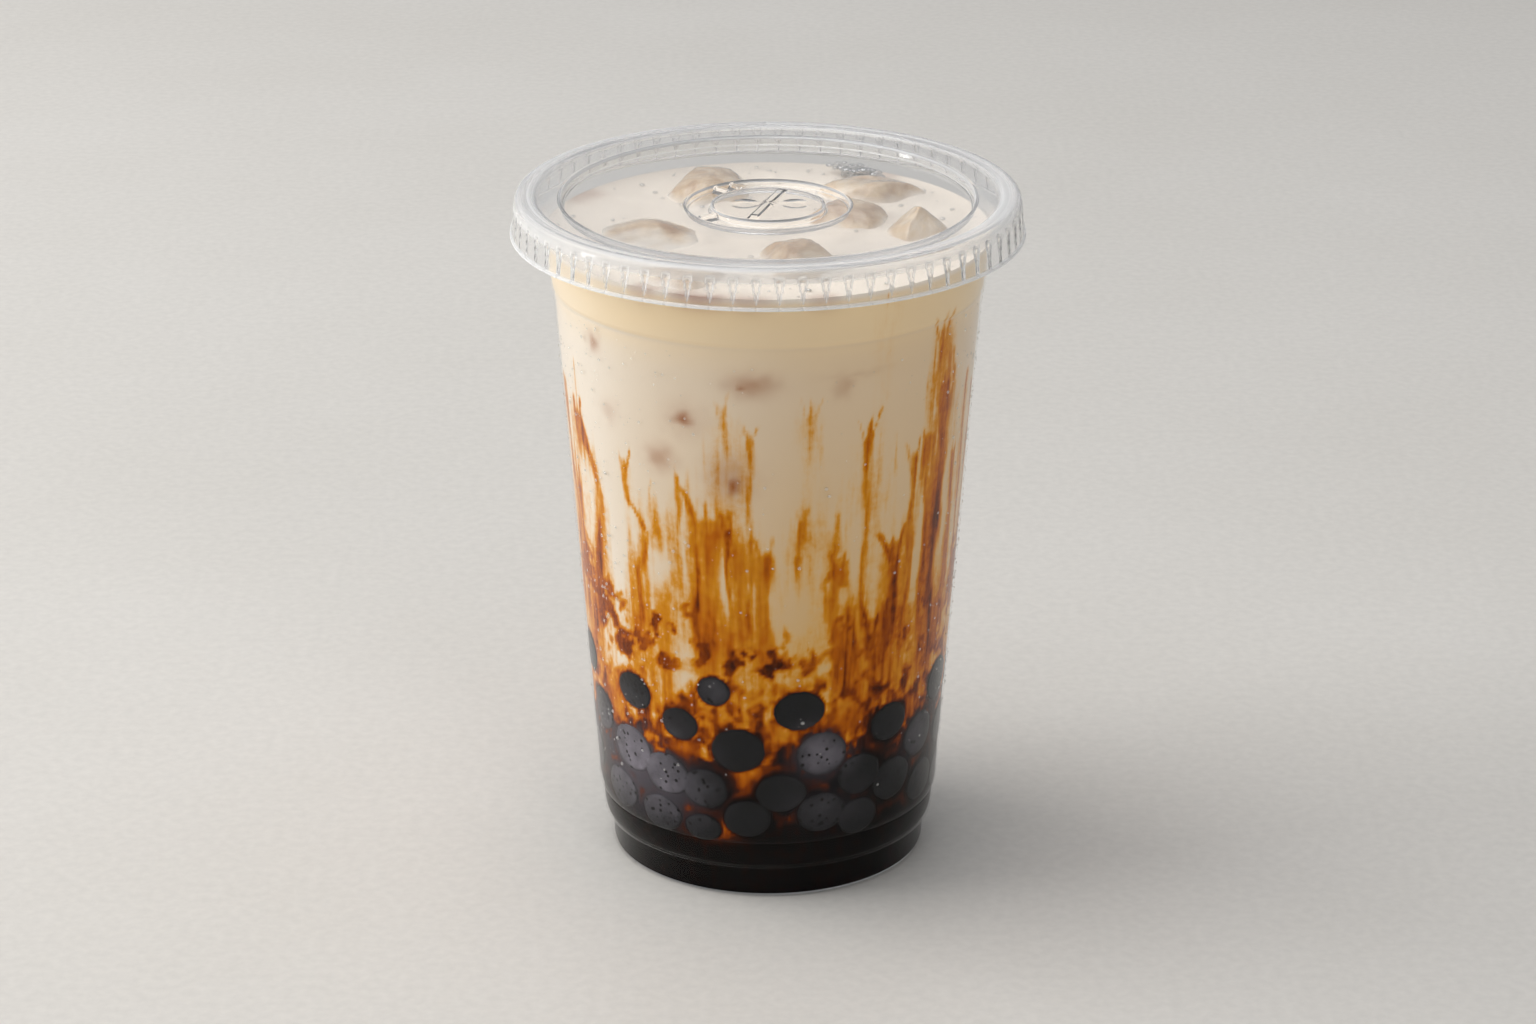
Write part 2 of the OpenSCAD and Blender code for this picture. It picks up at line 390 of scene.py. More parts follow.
lid = {
    "wall": 0.5, "flare": 0.8, "bead": 4.9, "ledge": 4.6, "ledgeDrop": 0.7, "recess": 1.9,
    "flutes": 72, "fluteWidth": 1.9, "fluteHeight": 4.6, "fluteDepth": 0.34, "fluteDrop": 2.0,
    "groove": 16.5, "grooveWidth": 5.0, "grooveDepth": 1.3,
    "dimples": (-4.6, 5.4), "dimpleRadius": 3.0, "dimpleDepth": 0.25,
    "weltTurn": -17, "weltHeight": 0.35, "stops": (-138, -152, -58),
}
lid["top"] = lidHigh.z / mm
lid["foot"] = lidLow.z / mm
lid["skirt"] = lidHigh.x / mm - lid["flare"]
lid["fluteTop"] = lid["top"] - lid["fluteDrop"]
lid["pitch"] = 2 * math.pi / lid["flutes"]
lid["ledgeHeight"] = lid["top"] - lid["ledgeDrop"]
lid["panel"] = lid["ledgeHeight"] - lid["recess"]
lid["recessRadius"] = lid["skirt"] - lid["bead"] - lid["ledge"]


def lidCorners():
    skirt, top, foot, panel = lid["skirt"], lid["top"], lid["foot"], lid["panel"]
    groove, width, floorHeight = lid["groove"], lid["grooveWidth"], lid["panel"] - lid["grooveDepth"]
    aboveLip, rows = foot + 0.95, np.linspace(0, 1, 15)
    rise, lean = top - 1.95 - foot - 0.95, 0.42  # of the fluted skirt, which leans in as it rises
    return ([(skirt + lid["flare"], foot, 0), (skirt + lid["flare"], foot + 0.4, 0.15),
             (skirt + lid["flare"] - 0.35, foot + 0.75, 0.2)]
            + [(skirt + lean * (1 - t), aboveLip + rise * t, 0) for t in rows]
            + arcPoints((skirt - 1.6, top - 1.5), 1.5, 0, 90, 10)
            + [(skirt - 2.5, top - 0.12, 0.3)]
            + arcPoints((skirt - lid["bead"] + 1.3, top - 1), 1, 90, 150, 5)
            + [(skirt - lid["bead"], lid["ledgeHeight"], 0.25),
               (lid["recessRadius"], lid["ledgeHeight"], 0.5),
               (lid["recessRadius"] - 0.3, panel, 0.5), (groove + 8, panel, 0), (groove, panel, 0.35),
               (groove - 0.3, floorHeight, 0.35), (groove - width + 0.3, floorHeight, 0.35),
               (groove - width, panel, 0.35)]
            + [(r, panel, 0) for r in (10.2, *np.arange(9.2, 0.5, -0.55))] + [(0, panel, 0)])


def offFlute(turn):  # distance round the skirt from the middle of the nearest flute
    return np.abs((turn / lid["pitch"]) % 1 - 0.5) * lid["pitch"] * lid["skirt"]


def pressFlutes(radius, height, turn):
    down = np.clip((lid["fluteTop"] - height) / lid["fluteHeight"], 0, 1)
    half = lid["fluteWidth"] / 2 * (1 - down)
    depth = lid["fluteDepth"] * np.clip(1 - offFlute(turn) / np.maximum(half, 1e-3), 0, 1) * (1 - 0.5 * down)
    near = (radius > lid["skirt"] - 1.2) & (height < lid["fluteTop"])
    return radius - np.where(near, depth, 0), height + panelRise(radius, turn)


def panelRise(radius, turn):  # dimples and the low welt in the middle, short walls across the groove
    x, y = radius * np.sin(turn), -radius * np.cos(turn)
    rise = np.zeros_like(radius)
    for place in lid["dimples"]:
        away = np.hypot(x - place, y)
        rise -= lid["dimpleDepth"] * np.clip((lid["dimpleRadius"] - away) / 1.2, 0, 1) ** 2
    turned = math.radians(lid["weltTurn"])
    across = x * math.cos(turned) + y * math.sin(turned)
    rise += lid["weltHeight"] * np.clip((1.1 - np.abs(across)) / 0.4, 0, 1) * (radius < 9.5)
    rise = np.where(radius < lid["groove"] - lid["grooveWidth"] - 0.5, rise, 0)
    inGroove = (radius < lid["groove"] - 0.4) & (radius > lid["groove"] - lid["grooveWidth"] + 0.4)
    for place in lid["stops"]:
        away = np.abs((np.degrees(turn) - place + 180) % 360 - 180) * math.pi / 180 * radius
        rise += inGroove * lid["grooveDepth"] * np.clip((0.7 - away) / 0.3, 0, 1)
    return rise


def makeLid():
    # columns across one flute's pitch, closer together where the flute is pressed in
    shares = (-0.5, -0.34, -0.25, -0.19, -0.13, -0.06, 0, 0.06, 0.13, 0.19, 0.25, 0.34)
    angles = [(i + 0.5 + s) * lid["pitch"] for i in range(lid["flutes"]) for s in shares]
    piece = spin("flat_lid", sheetLoop(lidCorners(), lid["wall"]), angles, True, pressFlutes)
    paint(piece, "frostAndPaintedHighlight", frostAndPaintedHighlightOf(placesOf(piece) / mm))
    piece.data.set_sharp_from_angle(angle=math.radians(45))
    attach(piece, lidMaterial(), "clear_sheet", "lid")


def frostAndPaintedHighlightOf(places):  # where the formed sheet is drawn or folded it looks a little whiter; most of this is painted highlight, white lines where the sheet catches light
    radius, height = np.hypot(places[:, 0], places[:, 1]), places[:, 2]
    turn = np.arctan2(places[:, 0], -places[:, 1])
    off = offFlute(turn)
    down = (lid["fluteTop"] - height) / lid["fluteHeight"]
    half = lid["fluteWidth"] / 2 * (1 - down)
    # painted highlights: white lines along the flute edges and across their closed tops
    flute = np.exp(-((off - half) / 0.16) ** 2) * (down > -0.02) * (down < 1.02) * 0.62
    flute = np.maximum(flute, 0.5 * np.exp(-(down / 0.05) ** 2) * (off < half))
    flute *= radius > lid["skirt"] - 1.5
    # painted reflections: concentric white streaks on the bead
    streaky = 0.5 + 0.5 * noiseAt(np.stack([radius * 2.4, turn * 1.2, height * 0 + 3], -1), 21)
    bead = np.clip((radius - lid["skirt"] + lid["bead"]) / 0.5, 0, 1)
    bead = bead * (0.10 + 0.28 * np.clip(streaky, 0, 1)) * (height > lid["top"] - 3)
    # painted highlight lines at the lip and the folds, with a little real whitening of the folded sheet
    lip = np.exp(-((height - lid["foot"]) / 0.5) ** 2) * 0.75
    ledge = 0.07 * (radius > lid["recessRadius"])
    folds = sum(0.35 * np.exp(-((radius - r) / 0.22) ** 2)
                for r in (lid["recessRadius"], lid["groove"], lid["groove"] - lid["grooveWidth"]))
    return np.clip(np.maximum.reduce([flute, bead, lip, ledge, folds]), 0, 0.85)


def lidMaterial():  # the lid's curves bend what is behind them; lamps shine straight through
    material, tree = newMaterial("clearLidSheet")
    glass = addNode(tree, "BsdfPrincipled", {"Base Color": (0.985, 0.985, 0.985, 1), "Roughness": 0.03,
                                             "IOR": 1.52, "Transmission Weight": 1.0})
    clear = addNode(tree, "BsdfTransparent", {"Color": (0.96, 0.96, 0.96, 1)})
    path = addNode(tree, "LightPath")
    sheet = addNode(tree, "MixShader", {0: path.outputs["Is Shadow Ray"], 1: glass.outputs[0],
                                        2: clear.outputs[0]})
    # painted highlights: white diffuse mixed in where the sheet catches light, partly real whitening of the
    # drawn sheet
    white = addNode(tree, "BsdfDiffuse", {"Color": (0.93, 0.93, 0.93, 1)})
    frostAndPaintedHighlight = painted(tree, "frostAndPaintedHighlight")
    finishMaterial(tree, addNode(tree, "MixShader", {0: frostAndPaintedHighlight, 1: sheet.outputs[0], 2: white.outputs[0]}))
    return material


drink = {
    "intoWall": 0.1, "segments": 448, "rowStep": 0.64,
    "milk": rgb(242, 233, 220), "milkTan": rgb(220, 178, 110), "cream": rgb(252, 226, 180),
    "topMilk": rgb(249, 238, 224), "greyTan": rgb(190, 156, 116),
    # the purple grey colour is a painted sheen, a reflection on the dark syrup low on the wall
    "spot": rgb(158, 86, 32), "paintedSheen": rgb(100, 95, 103),
    "darkTop": 36.5,  # mean height of the black syrup
    "curtainTop": 78, "curtainFoot": 34,  # thin syrup that hangs between the streaks
    "backFrom": 88, "backRuns": 46,  # past this angle from the front, streaks and pearls are seeded
}
drink["level"] = drinkHigh.z / mm
drink["floor"] = bedLow.z / mm
drink["join"] = drinkLow.z / mm

# Streaks on the wall: path as (angle from the front, height), half width in mm, strength,
# how many prongs at the top
streaks = [
    ([(-66, 112), (-67, 98)], 0.5, 0.45, 0),
    ([(-67, 100), (-59, 89), (-56, 82), (-60, 69), (-70, 49)], 1.7, 0.95, 2),
    ([(-80, 105), (-79, 90), (-77, 76), (-80, 58)], 1.5, 0.85, 0),
    ([(-72, 84), (-71, 72), (-74, 56)], 1.4, 0.7, 1),
    ([(-44, 95), (-43, 86), (-38, 80), (-40, 72), (-42, 60)], 0.8, 0.62, 2),
    ([(-35, 91), (-35, 84)], 0.6, 0.3, 1),
    ([(-27, 95), (-26, 88)], 0.5, 0.25, 1),
    ([(-26, 92), (-21, 83), (-20, 66), (-21, 56)], 0.9, 0.55, 1),
    ([(-12, 110), (-12, 103)], 0.9, 0.3, 2),
    ([(-5, 105), (-5, 98), (-5, 79), (-5, 60)], 0.7, 0.42, 2),
    ([(-17, 86), (-17, 58)], 3.2, 0.46, 3),
    ([(-12, 84), (-12.5, 58)], 1.0, 0.66, 2),
    ([(-8, 82), (-8, 56)], 2.6, 0.40, 1),
    ([(-1, 79), (-2, 68), (-1, 55)], 1.8, 0.54, 2),
    ([(11.5, 111), (11, 104)], 0.8, 0.25, 3),
    ([(10, 86), (9, 76), (9, 66)], 0.9, 0.42, 2),
    ([(19, 87), (19, 78)], 1.3, 0.3, 1),
    ([(20, 76), (19.5, 68), (21, 60), (24, 50)], 1.7, 0.72, 2),
    ([(28, 105), (28, 99), (28.5, 86), (29, 66)], 0.7, 0.6, 3),
    ([(38, 99), (38.5, 92)], 0.5, 0.3, 1),
    ([(39, 78), (40, 66), (38, 52)], 2.2, 0.75, 3),
    ([(44, 96), (45, 84), (46, 70), (45, 54)], 1.3, 0.60, 2),
    ([(50, 99), (51, 84), (52, 64), (52, 50)], 1.4, 0.52, 2),
    ([(54, 121), (55, 108), (56, 98)], 1.3, 0.42, 3),
    ([(57, 109), (57, 104)], 1.0, 0.70, 1),
    ([(60, 112), (60.5, 100), (60, 92)], 0.8, 0.5, 1),
    ([(32, 137), (32, 136)], 0.7, 0.85, 0),
    ([(58, 105), (58, 94), (57, 80), (58, 62), (60, 50)], 1.7, 0.68, 2),
    ([(66, 92), (67, 76), (66, 54)], 1.1, 0.58, 2),
    ([(72, 108), (73, 92), (74, 66)], 0.7, 0.8, 0),
    ([(80, 104), (81, 84), (81, 60)], 1.3, 0.9, 0),
    ([(32, 62), (34, 44)], 2.0, 0.8, 2),
    ([(25, 66), (25, 56), (28, 44)], 1.6, 0.7, 1),
]
# Thin golden sheets of syrup under the wall: (angle, height, half width, half height, strength)
sheets = [
    (-10, 92, 5.0, 17, 0.15), (-22, 82, 3.4, 16, 0.16), (11, 104, 2.6, 7, 0.14), (8, 75, 3.6, 14, 0.16),
    (21, 74, 4.2, 18, 0.18), (30, 90, 3.0, 14, 0.14), (55.5, 104, 4.8, 19, 0.34), (45, 84, 4.0, 14, 0.14),
    (-57, 84, 2.6, 16, 0.10), (-38, 78, 2.6, 9, 0.14), (70, 92, 4.4, 24, 0.18), (-74, 84, 4.0, 22, 0.22),
    (112, 86, 4, 18, 0.16), (150, 94, 4, 20, 0.16), (-162, 88, 4, 18, 0.18), (-124, 92, 4, 20, 0.18),
]
# Curdled clots: (angle, height, half width, half height, strength)
clots = [
    (-70, 66, 4.5, 6, 0.7), (-58, 60, 6.0, 6.5, 0.75), (-50, 53, 4, 4, 0.8), (-35, 61, 2.2, 2.4, 0.8),
    (-41, 56, 3.0, 2.2, 0.75), (-33, 52, 2.8, 2.0, 0.8), (-23, 65, 2.2, 1.6, 0.7), (-20, 56, 3.5, 3.0, 0.8),
    (-8, 55, 4.5, 3.0, 0.85), (3, 55, 4.5, 3.2, 0.9), (11, 53.5, 2.5, 3.4, 0.85), (20, 73, 2.3, 3.0, 0.6),
    (24, 60, 3.4, 4.0, 0.7), (31, 55, 4.2, 5.5, 0.7), (40, 60, 4.0, 7.0, 0.62), (50, 58, 4.5, 8.0, 0.6),
    (60, 56, 4.5, 9.0, 0.75), (74, 62, 5.0, 9.0, 0.7),
]
# Clean milk between the runs: (angle, height, half width, half height)
milkGaps = [
    (49, 74, 1.5, 16), (62, 78, 1.3, 18), (41, 88, 1.6, 9), (70, 70, 1.2, 14), (-13.8, 70, 1.0, 9),
    (26, 77, 1.8, 10), (-33.5, 73, 3.4, 5.5), (-50, 84, 4.5, 12), (3, 92, 4, 8), (-27, 50, 1.9, 6.5),
    (9, 65, 4.4, 8.5), (17, 50, 2.0, 6.0), (-49, 72, 3.0, 6.0),
]
# Ice and clots deep in the milk, as soft spots: (angle, height, half width, half height, strength)
spots = [
    (-4.5, 114.7, 4.6, 2.3, 0.55), (-7, 114.2, 1.6, 0.9, 0.75), (-23, 106.5, 2.0, 1.8, 0.85),
    (-31, 97.3, 3.2, 2.7, 0.5), (-9.5, 93.2, 1.8, 2.1, 0.95), (-10.5, 94.6, 4.4, 5.2, 0.42),
    (-54, 117.7, 2.0, 1.8, 0.6), (20.7, 113.7, 1.9, 2.4, 0.32), (60, 103.8, 2.2, 2.4, 0.4),
    (-23, 106.5, 4.4, 3.8, 0.22), (-49, 104, 2.4, 2.4, 0.22), (24, 116, 6, 0.8, 0.15),
    (118, 108, 3.4, 3.0, 0.5), (-126, 112, 3.6, 2.6, 0.5), (160, 98, 3.0, 3.4, 0.6),
    (-165, 114, 3.0, 2.4, 0.5),
]
# Lumps close under the surface at the wall: (angle, half width, strength)
rimLumps = [
    (-33, 3.2, 0.5), (-18, 6.0, 0.75), (-5, 4.6, 0.45), (14, 3.4, 0.4), (150, 6.0, 0.3), (-120, 5.0, 0.35),
]
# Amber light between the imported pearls: (angle, height, half width, half height, strength)
glows = [
    (-20, 15.6, 5.0, 2.2, 0.45), (-6, 30.4, 3.4, 2.4, 0.42), (5, 38.7, 2.6, 2.4, 0.5),
    (-8, 28.0, 1.6, 3, 0.3), (-28, 33.5, 3.0, 2.0, 0.35), (-58, 39, 3.0, 4.0, 0.4),
    (27, 40, 3.0, 3.0, 0.3), (52, 38, 2.0, 2.4, 0.25), (150, 17, 6.0, 2.2, 0.4),
    (-130, 33, 4.0, 2.6, 0.35), (115, 30, 3.6, 3.0, 0.35), (-165, 27, 3, 2, 0.3),
]
# Painted sheen, a purple grey reflection over pearls and syrup: (angle, height, half width, half height,
# strength)
paintedSheens = [
    (-50, 27, 13, 10, 1.0), (-36, 24, 8, 7, 0.8), (17.4, 33.3, 5.6, 5.2, 0.8), (-17, 47.4, 4, 4, 0.22),
    (20, 21, 8, 5, 0.16), (-80, 30, 8, 12, 0.5), (58, 31, 6, 6, 0.3),
    (140, 26, 12, 9, 0.7), (-140, 24, 10, 8, 0.6), (-110, 34, 8, 8, 0.4),
]
# Pearls pressed to the wall: (angle, height, width, height of the disc that shows)
wallPearls = [
    (-78, 44.7, 9.6, 9.0), (-68, 34.1, 9.6, 9.4), (-47, 43.1, 9.6, 8.0), (-29, 38.8, 8.3, 7.2),
    (-17, 47.4, 7.0, 6.6), (9.8, 43.5, 10.3, 8.9), (-9.6, 34.6, 11.0, 9.9), (42, 37.2, 9.6, 8.7),
    (70, 40.5, 10.5, 9.5), (58, 31.0, 10.6, 10.0), (17.4, 33.3, 10.7, 10.1), (-50, 29.4, 11.6, 10.6),
    (-35, 26.5, 11.0, 9.6), (-21, 25.0, 9.8, 9.1), (4.2, 24.9, 10.2, 8.8), (-6.8, 18.9, 9.6, 8.6),
    (17.8, 19.8, 10.2, 9.2), (-58, 18.6, 11.0, 9.0), (-80, 22.8, 10.0, 9.4), (31, 27.2, 9.8, 9.4),
    (45, 23.6, 10.4, 9.6), (31, 17.4, 9.2, 8.4), (62, 19.4, 10.4, 9.2), (78, 28.6, 10.2, 9.6),
    (-38, 17.0, 10.0, 8.0), (-22, 15.8, 8.0, 6.0), (79, 17.6, 9.6, 8.4),
]
ring = {"tries": 6000, "low": 17.5, "rise": 28, "small": 8.6, "large": 11.2, "closest": 0.93}


def wrapped(angle):
    return (angle + 180) % 360 - 180


def restOfTheRing():  # more pearls round the back, seeded
    pick = random.Random(31)
    found = list(wallPearls)
    perDegree = 0.63  # millimetres round the wall, at the pearls' height
    for attempt in range(ring["tries"]):
        angle = pick.uniform(drink["backFrom"], 360 - drink["backFrom"])
        height = ring["low"] + ring["rise"] * pick.random() ** 1.35
        size = pick.uniform(ring["small"], ring["large"])
        shape = (wrapped(angle), height, size, size * pick.uniform(0.88, 0.96))
        if all(math.hypot(wrapped(shape[0] - p[0]) * perDegree, shape[1] - p[1])
               > 0.5 * (size + p[2]) * ring["closest"] for p in found):
            found.append(shape)
    return found


def overWall(angle, height, centre, across, up):  # soft round patch, 1 in its middle
    side = np.radians(wrapped(angle - centre[0])) * innerRadius(height)
    return np.exp(-((side / across) ** 2 + ((height - centre[1]) / up) ** 2))


def oneStreak(angle, height, wobble, path, half, strength):
    heights = [p[1] for p in path][::-1]
    turns = [p[0] for p in path][::-1]
    middle = np.interp(height, heights, turns)
    side = np.radians(wrapped(angle - middle)) * innerRadius(height) + wobble * min(half, 1.2) * 1.1
    top, foot = heights[-1], heights[0]
    share = np.clip((height - foot) / (top - foot), 0, 1)
    width = half * (0.75 + 0.45 * np.cos(share * 2.6) ** 2)
    body = 0.85 * np.exp(-np.abs(side / width) ** 2) + 0.15 * np.exp(-np.abs(side / width) ** 6)
    glow = 0.40 * np.exp(-(side / (width * 1.7 + 1.1)) ** 2)  # thin golden syrup round the darker run
    veil = 0.17 * np.exp(-(side / (width * 2.2 + 2.8)) ** 2) * np.clip((top + 1 - height) / 7, 0, 1)
    ends = np.clip((top + 0.8 - height) / 1.8, 0, 1) * np.clip((height - foot + 9) / 9, 0, 1)
    softEnds = np.clip((top - height) / 5, 0, 1) * np.clip((height - foot + 9) / 9, 0, 1)
    veil *= 0.5 + 0.5 * strength
    return np.maximum.reduce([body * ends * strength, glow * softEnds * strength, veil])


def addProngs(shapes):  # flame-like forks at the tops of the streaks
    pick = random.Random(5)
    found = []
    for path, half, strength, prongs in shapes:
        found.append((path, half, strength))
        angle, top = path[0]
        for k in range(prongs):
            lean = (k - (prongs - 1) / 2) * (2.6 + half) * 1.1 + pick.uniform(-0.5, 0.5)
            rise = pick.uniform(1.0, 3.6)
            found.append(([(angle + lean, top + rise), (angle + lean * 0.25, top - 4.5)],
                          0.35 + 0.16 * half, strength * 0.9))
    return found


def backStreaks():  # seeded streaks round the back, in the same form as the list's
    pick = random.Random(12)
    found = []
    start, count = drink["backFrom"], drink["backRuns"]
    for k in range(count):
        angle = start + (360 - 2 * start) * (k + pick.uniform(-0.3, 0.3)) / count
        top = pick.choice((pick.uniform(66, 84), pick.uniform(84, 114), pick.uniform(58, 74)))
        sway = pick.uniform(-2.5, 2.5)
        path = [(angle, top), (angle + sway, (top + 50) / 2 + 6), (angle + 1.5 * sway, 50)]
        found.append((path, pick.uniform(0.5, 2.0), pick.uniform(0.35, 0.8), pick.choice((0, 1, 2, 3))))
    return found


def discEdge(angle, height, pearls):  # distance outside the nearest pearl's disc, minus inside it
    edge = np.full(len(angle), 99.0)
    for a, z, wide, high in pearls:
        side = np.radians(wrapped(angle - a)) * innerRadius(height) / wide * 2
        rise = (height - z) / high * 2
        edge = np.minimum(edge, (np.hypot(side, rise) - 1) * (wide + high) / 4)
    return edge


def sheenField(places):  # painted sheen: a purple grey reflection low on the wall, over the pearls and the syrup
    angle, height = onWall(places)
    found = np.zeros(len(places))
    for a, z, across, up, strength in paintedSheens:
        found = np.maximum(found, strength * overWall(angle, height, (a, z), across, up))
    return found


def wallNoise(angle, height):  # the unevenness that every part of the syrup shares
    turn, drum = np.radians(angle), 40  # on a drum, so that the runs keep their width all the way up
    flat = np.stack([np.sin(turn) * drum, -np.cos(turn) * drum, height], -1)
    kinds = {
        "wobble": (1, (0.30, 0.30, 0.09)), "run": (2, (0.85, 0.85, 0.05)), "fineRun": (3, (2.0, 2.0, 0.12)),
        "curdle": (4, (0.33, 0.33, 0.30)), "smallCurdle": (5, (0.8, 0.8, 0.7)),
        "broad": (6, (0.06, 0.06, 0.03)), "columns": (8, (0.16, 0.16, 0.012)), "fringe": (9, (0.5, 0.5, 0.0)),
    }
    return SimpleNamespace(**{name: noiseAt(flat, seed, scale) for name, (seed, scale) in kinds.items()})


def hangingSyrup(angle, height, vary):  # streaks, thin sheets, and the curtain between them
    syrup = np.zeros(len(angle))
    for path, half, strength in addProngs(streaks + backStreaks()):
        one = oneStreak(angle, height, vary.wobble, path, half, strength)
        syrup = np.maximum(syrup, one) + 0.22 * np.minimum(syrup, one)
    for a, z, across, up, strength in sheets:
        side = np.radians(wrapped(angle + 1.5 * vary.wobble - a)) * innerRadius(height) / across
        sheet = np.exp(-side ** 4 - ((height - z) / up) ** 4)
        sheet = sheet * strength * (0.8 + 0.5 * vary.run + 0.3 * vary.fineRun)
        syrup = syrup + sheet * (1 - syrup)
    syrup = np.clip(syrup, 0, 0.78) * (0.82 + 0.18 * vary.run + 0.10 * vary.fineRun)
    curtainTop = drink["curtainTop"] + 13 * vary.columns + 6 * vary.fringe
    curtain = np.clip((curtainTop - height) / 12, 0, 1) * np.clip((height - drink["curtainFoot"]) / 8, 0, 1)
    curtain *= 0.13 + 0.30 * np.clip(vary.columns + 0.35 * vary.run, 0, 1)
    return 1 - (1 - np.clip(syrup, 0, 1)) * (1 - curtain)


def withClots(syrup, angle, height, vary):  # clots over the runs, and clean milk between them
    for a, z, across, up, strength in clots:
        patch = overWall(angle + 2.2 * vary.wobble, height + 1.5 * vary.curdle, (a, z), across, up)
        clot = strength * np.clip(patch * 1.4 + 0.8 * vary.curdle + 0.5 * vary.smallCurdle, 0, 1)
        syrup = np.maximum(syrup, clot * np.clip(patch * 3, 0, 1))
    back = np.abs(angle) > drink["backFrom"] - 4
    loose = np.exp(-((height - 55 - 6 * vary.broad) / 8) ** 2)
    loose = loose * np.clip(0.3 + 1.1 * vary.curdle + 0.5 * vary.smallCurdle, 0, 1)
    syrup = np.where(back, np.maximum(syrup, 0.8 * loose), syrup)
    for a, z, across, up in milkGaps:
        syrup = syrup * (1 - 0.85 * overWall(angle + 1.5 * vary.wobble, height, (a, z), across, up))
    return syrup


def withBlackFoot(syrup, angle, height, vary):  # brown haze that deepens into black
    top = drink["darkTop"] + 4.5 * vary.curdle + 2.0 * vary.smallCurdle + 3.5 * vary.wobble
    top = top + 4.5 * np.exp(-(wrapped(angle - 45) / 16) ** 2)  # higher on the right, lower on the left
    top = top - 2.5 * np.exp(-(wrapped(angle + 60) / 30) ** 2)
    low = np.clip((top + 24 - height) / 24, 0, 1)
    haze = low ** 0.9 * (0.72 + 0.38 * vary.curdle + 0.24 * vary.smallCurdle + 0.16 * vary.run)
    syrup = np.maximum(syrup, np.clip(haze, 0, 0.80))
    black = 1 / (1 + np.exp((height - top) / 1.5))
    return np.maximum(syrup, 0.80 + 0.2 * black) * black + syrup * (1 - black)


def syrupField(places, pearls):  # 0 is clean milk, and 1 is black syrup
    angle, height = onWall(places)
    vary = wallNoise(angle, height)
    syrup = withClots(hangingSyrup(angle, height, vary), angle, height, vary)
    syrup = withBlackFoot(syrup, angle, height, vary)
    edge = discEdge(angle, height, pearls)
    amber = np.exp(-((edge - 1.5) / 0.9) ** 2) * np.clip((height - 14) / 4, 0, 1)
    amber *= np.clip(0.35 + 0.9 * vary.curdle, 0, 1) * np.clip(1.5 - np.abs(height - 30) / 22, 0, 1)
    syrup = syrup * (1 - 0.6 * amber) + 0.70 * 0.6 * amber
    for a, z, across, up, strength in glows:
        patch = overWall(angle, height, (a, z), across, up) * np.clip(edge * 2, 0, 1)
        syrup = syrup * (1 - patch) + (0.95 - strength) * patch
    rim = np.exp(-(np.clip(edge, 0, 9) / 0.45) ** 2)  # painted shade: a dark ring round each pearl where it meets the wall
    return np.clip(np.maximum(syrup, 0.86 * rim), 0, 1)


def spotField(places):  # lumps and clots that show dimly through the milk
    angle, height = onWall(places)
    blur = noiseAt(places, 11, (420, 420, 420))
    found = np.zeros(len(places))
    for a, across, strength in rimLumps:
        found = np.maximum(found, 0.8 * strength * overWall(angle, height, (a, drink["level"]), across, 2.4))
    for a, z, across, up, strength in spots:
        patch = overWall(angle + 1.2 * blur, height + 0.5 * blur, (a, z), across, up)
        found = np.maximum(found, strength * patch)
    return found


def lumpsUnderRim(places):  # tan lumps just under the surface, close behind the front wall
    angle = onWall(places)[0]
    radius = np.hypot(places[:, 0], places[:, 1]) / mm
    blur = noiseAt(places, 15, (200, 200, 200))
    arm, middle, depth = 44, 44.5, 3.4  # millimetres from the axis, and how deep a lump shows
    found = np.zeros(len(places))
    for a, across, strength in rimLumps:
        away = np.radians(wrapped(angle - a)) * arm / across
        found = np.maximum(found, strength * np.exp(-away ** 4 - ((radius - middle + blur) / depth) ** 2))
    return found


def tanAndSideShadeField(places):  # how far the tea has taken up syrup, in broad soft areas; also painted shade, paler on the left towards the window lamp and tan round the front and right
    angle, height = onWall(places)
    broad = noiseAt(places, 7, (28, 28, 14))
    # painted shade: paler towards the window lamp on the left, tan on the other sides
    side = np.clip((angle + 54) / 66, 0, 1) * np.clip((200 - angle) / 60, 0, 1)
    low = np.clip((112 - height) / 55, 0, 1)
    return np.clip(0.05 + 0.78 * side * (0.55 + 0.45 * low) + 0.06 * low + 0.12 * broad, 0, 1)


def creamField(places):  # the milkier band over the stacking ring
    height = places[:, 2] / mm
    neck = cup["neckHeight"]
    soft = noiseAt(places, 12, (60, 60, 160))
    band = np.clip((height - neck + 9) / 9, 0, 1) ** 2 * (0.62 + 0.26 * np.clip((height - neck) / 0.6, 0, 1))
    band += 0.18 * np.clip((height - neck - 2) / 5, 0, 1) + 0.10 * soft * (height > neck - 5)
    # painted shade: a thin darker greyish line at the stacking step
    line = np.exp(-((height - neck + 0.1) / 0.4) ** 2)
    line *= 0.6 + 0.4 * soft
    return np.clip(band, 0, 1.2) * (1 - line) - 0.24 * line


def iceSpots():  # middle and half sizes of each lump, in millimetres
    found = []
    for name in iceNames:
        low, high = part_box(name)
        found.append(((low + high) / 2 / mm, (high - low) / 2 / mm))
    return found


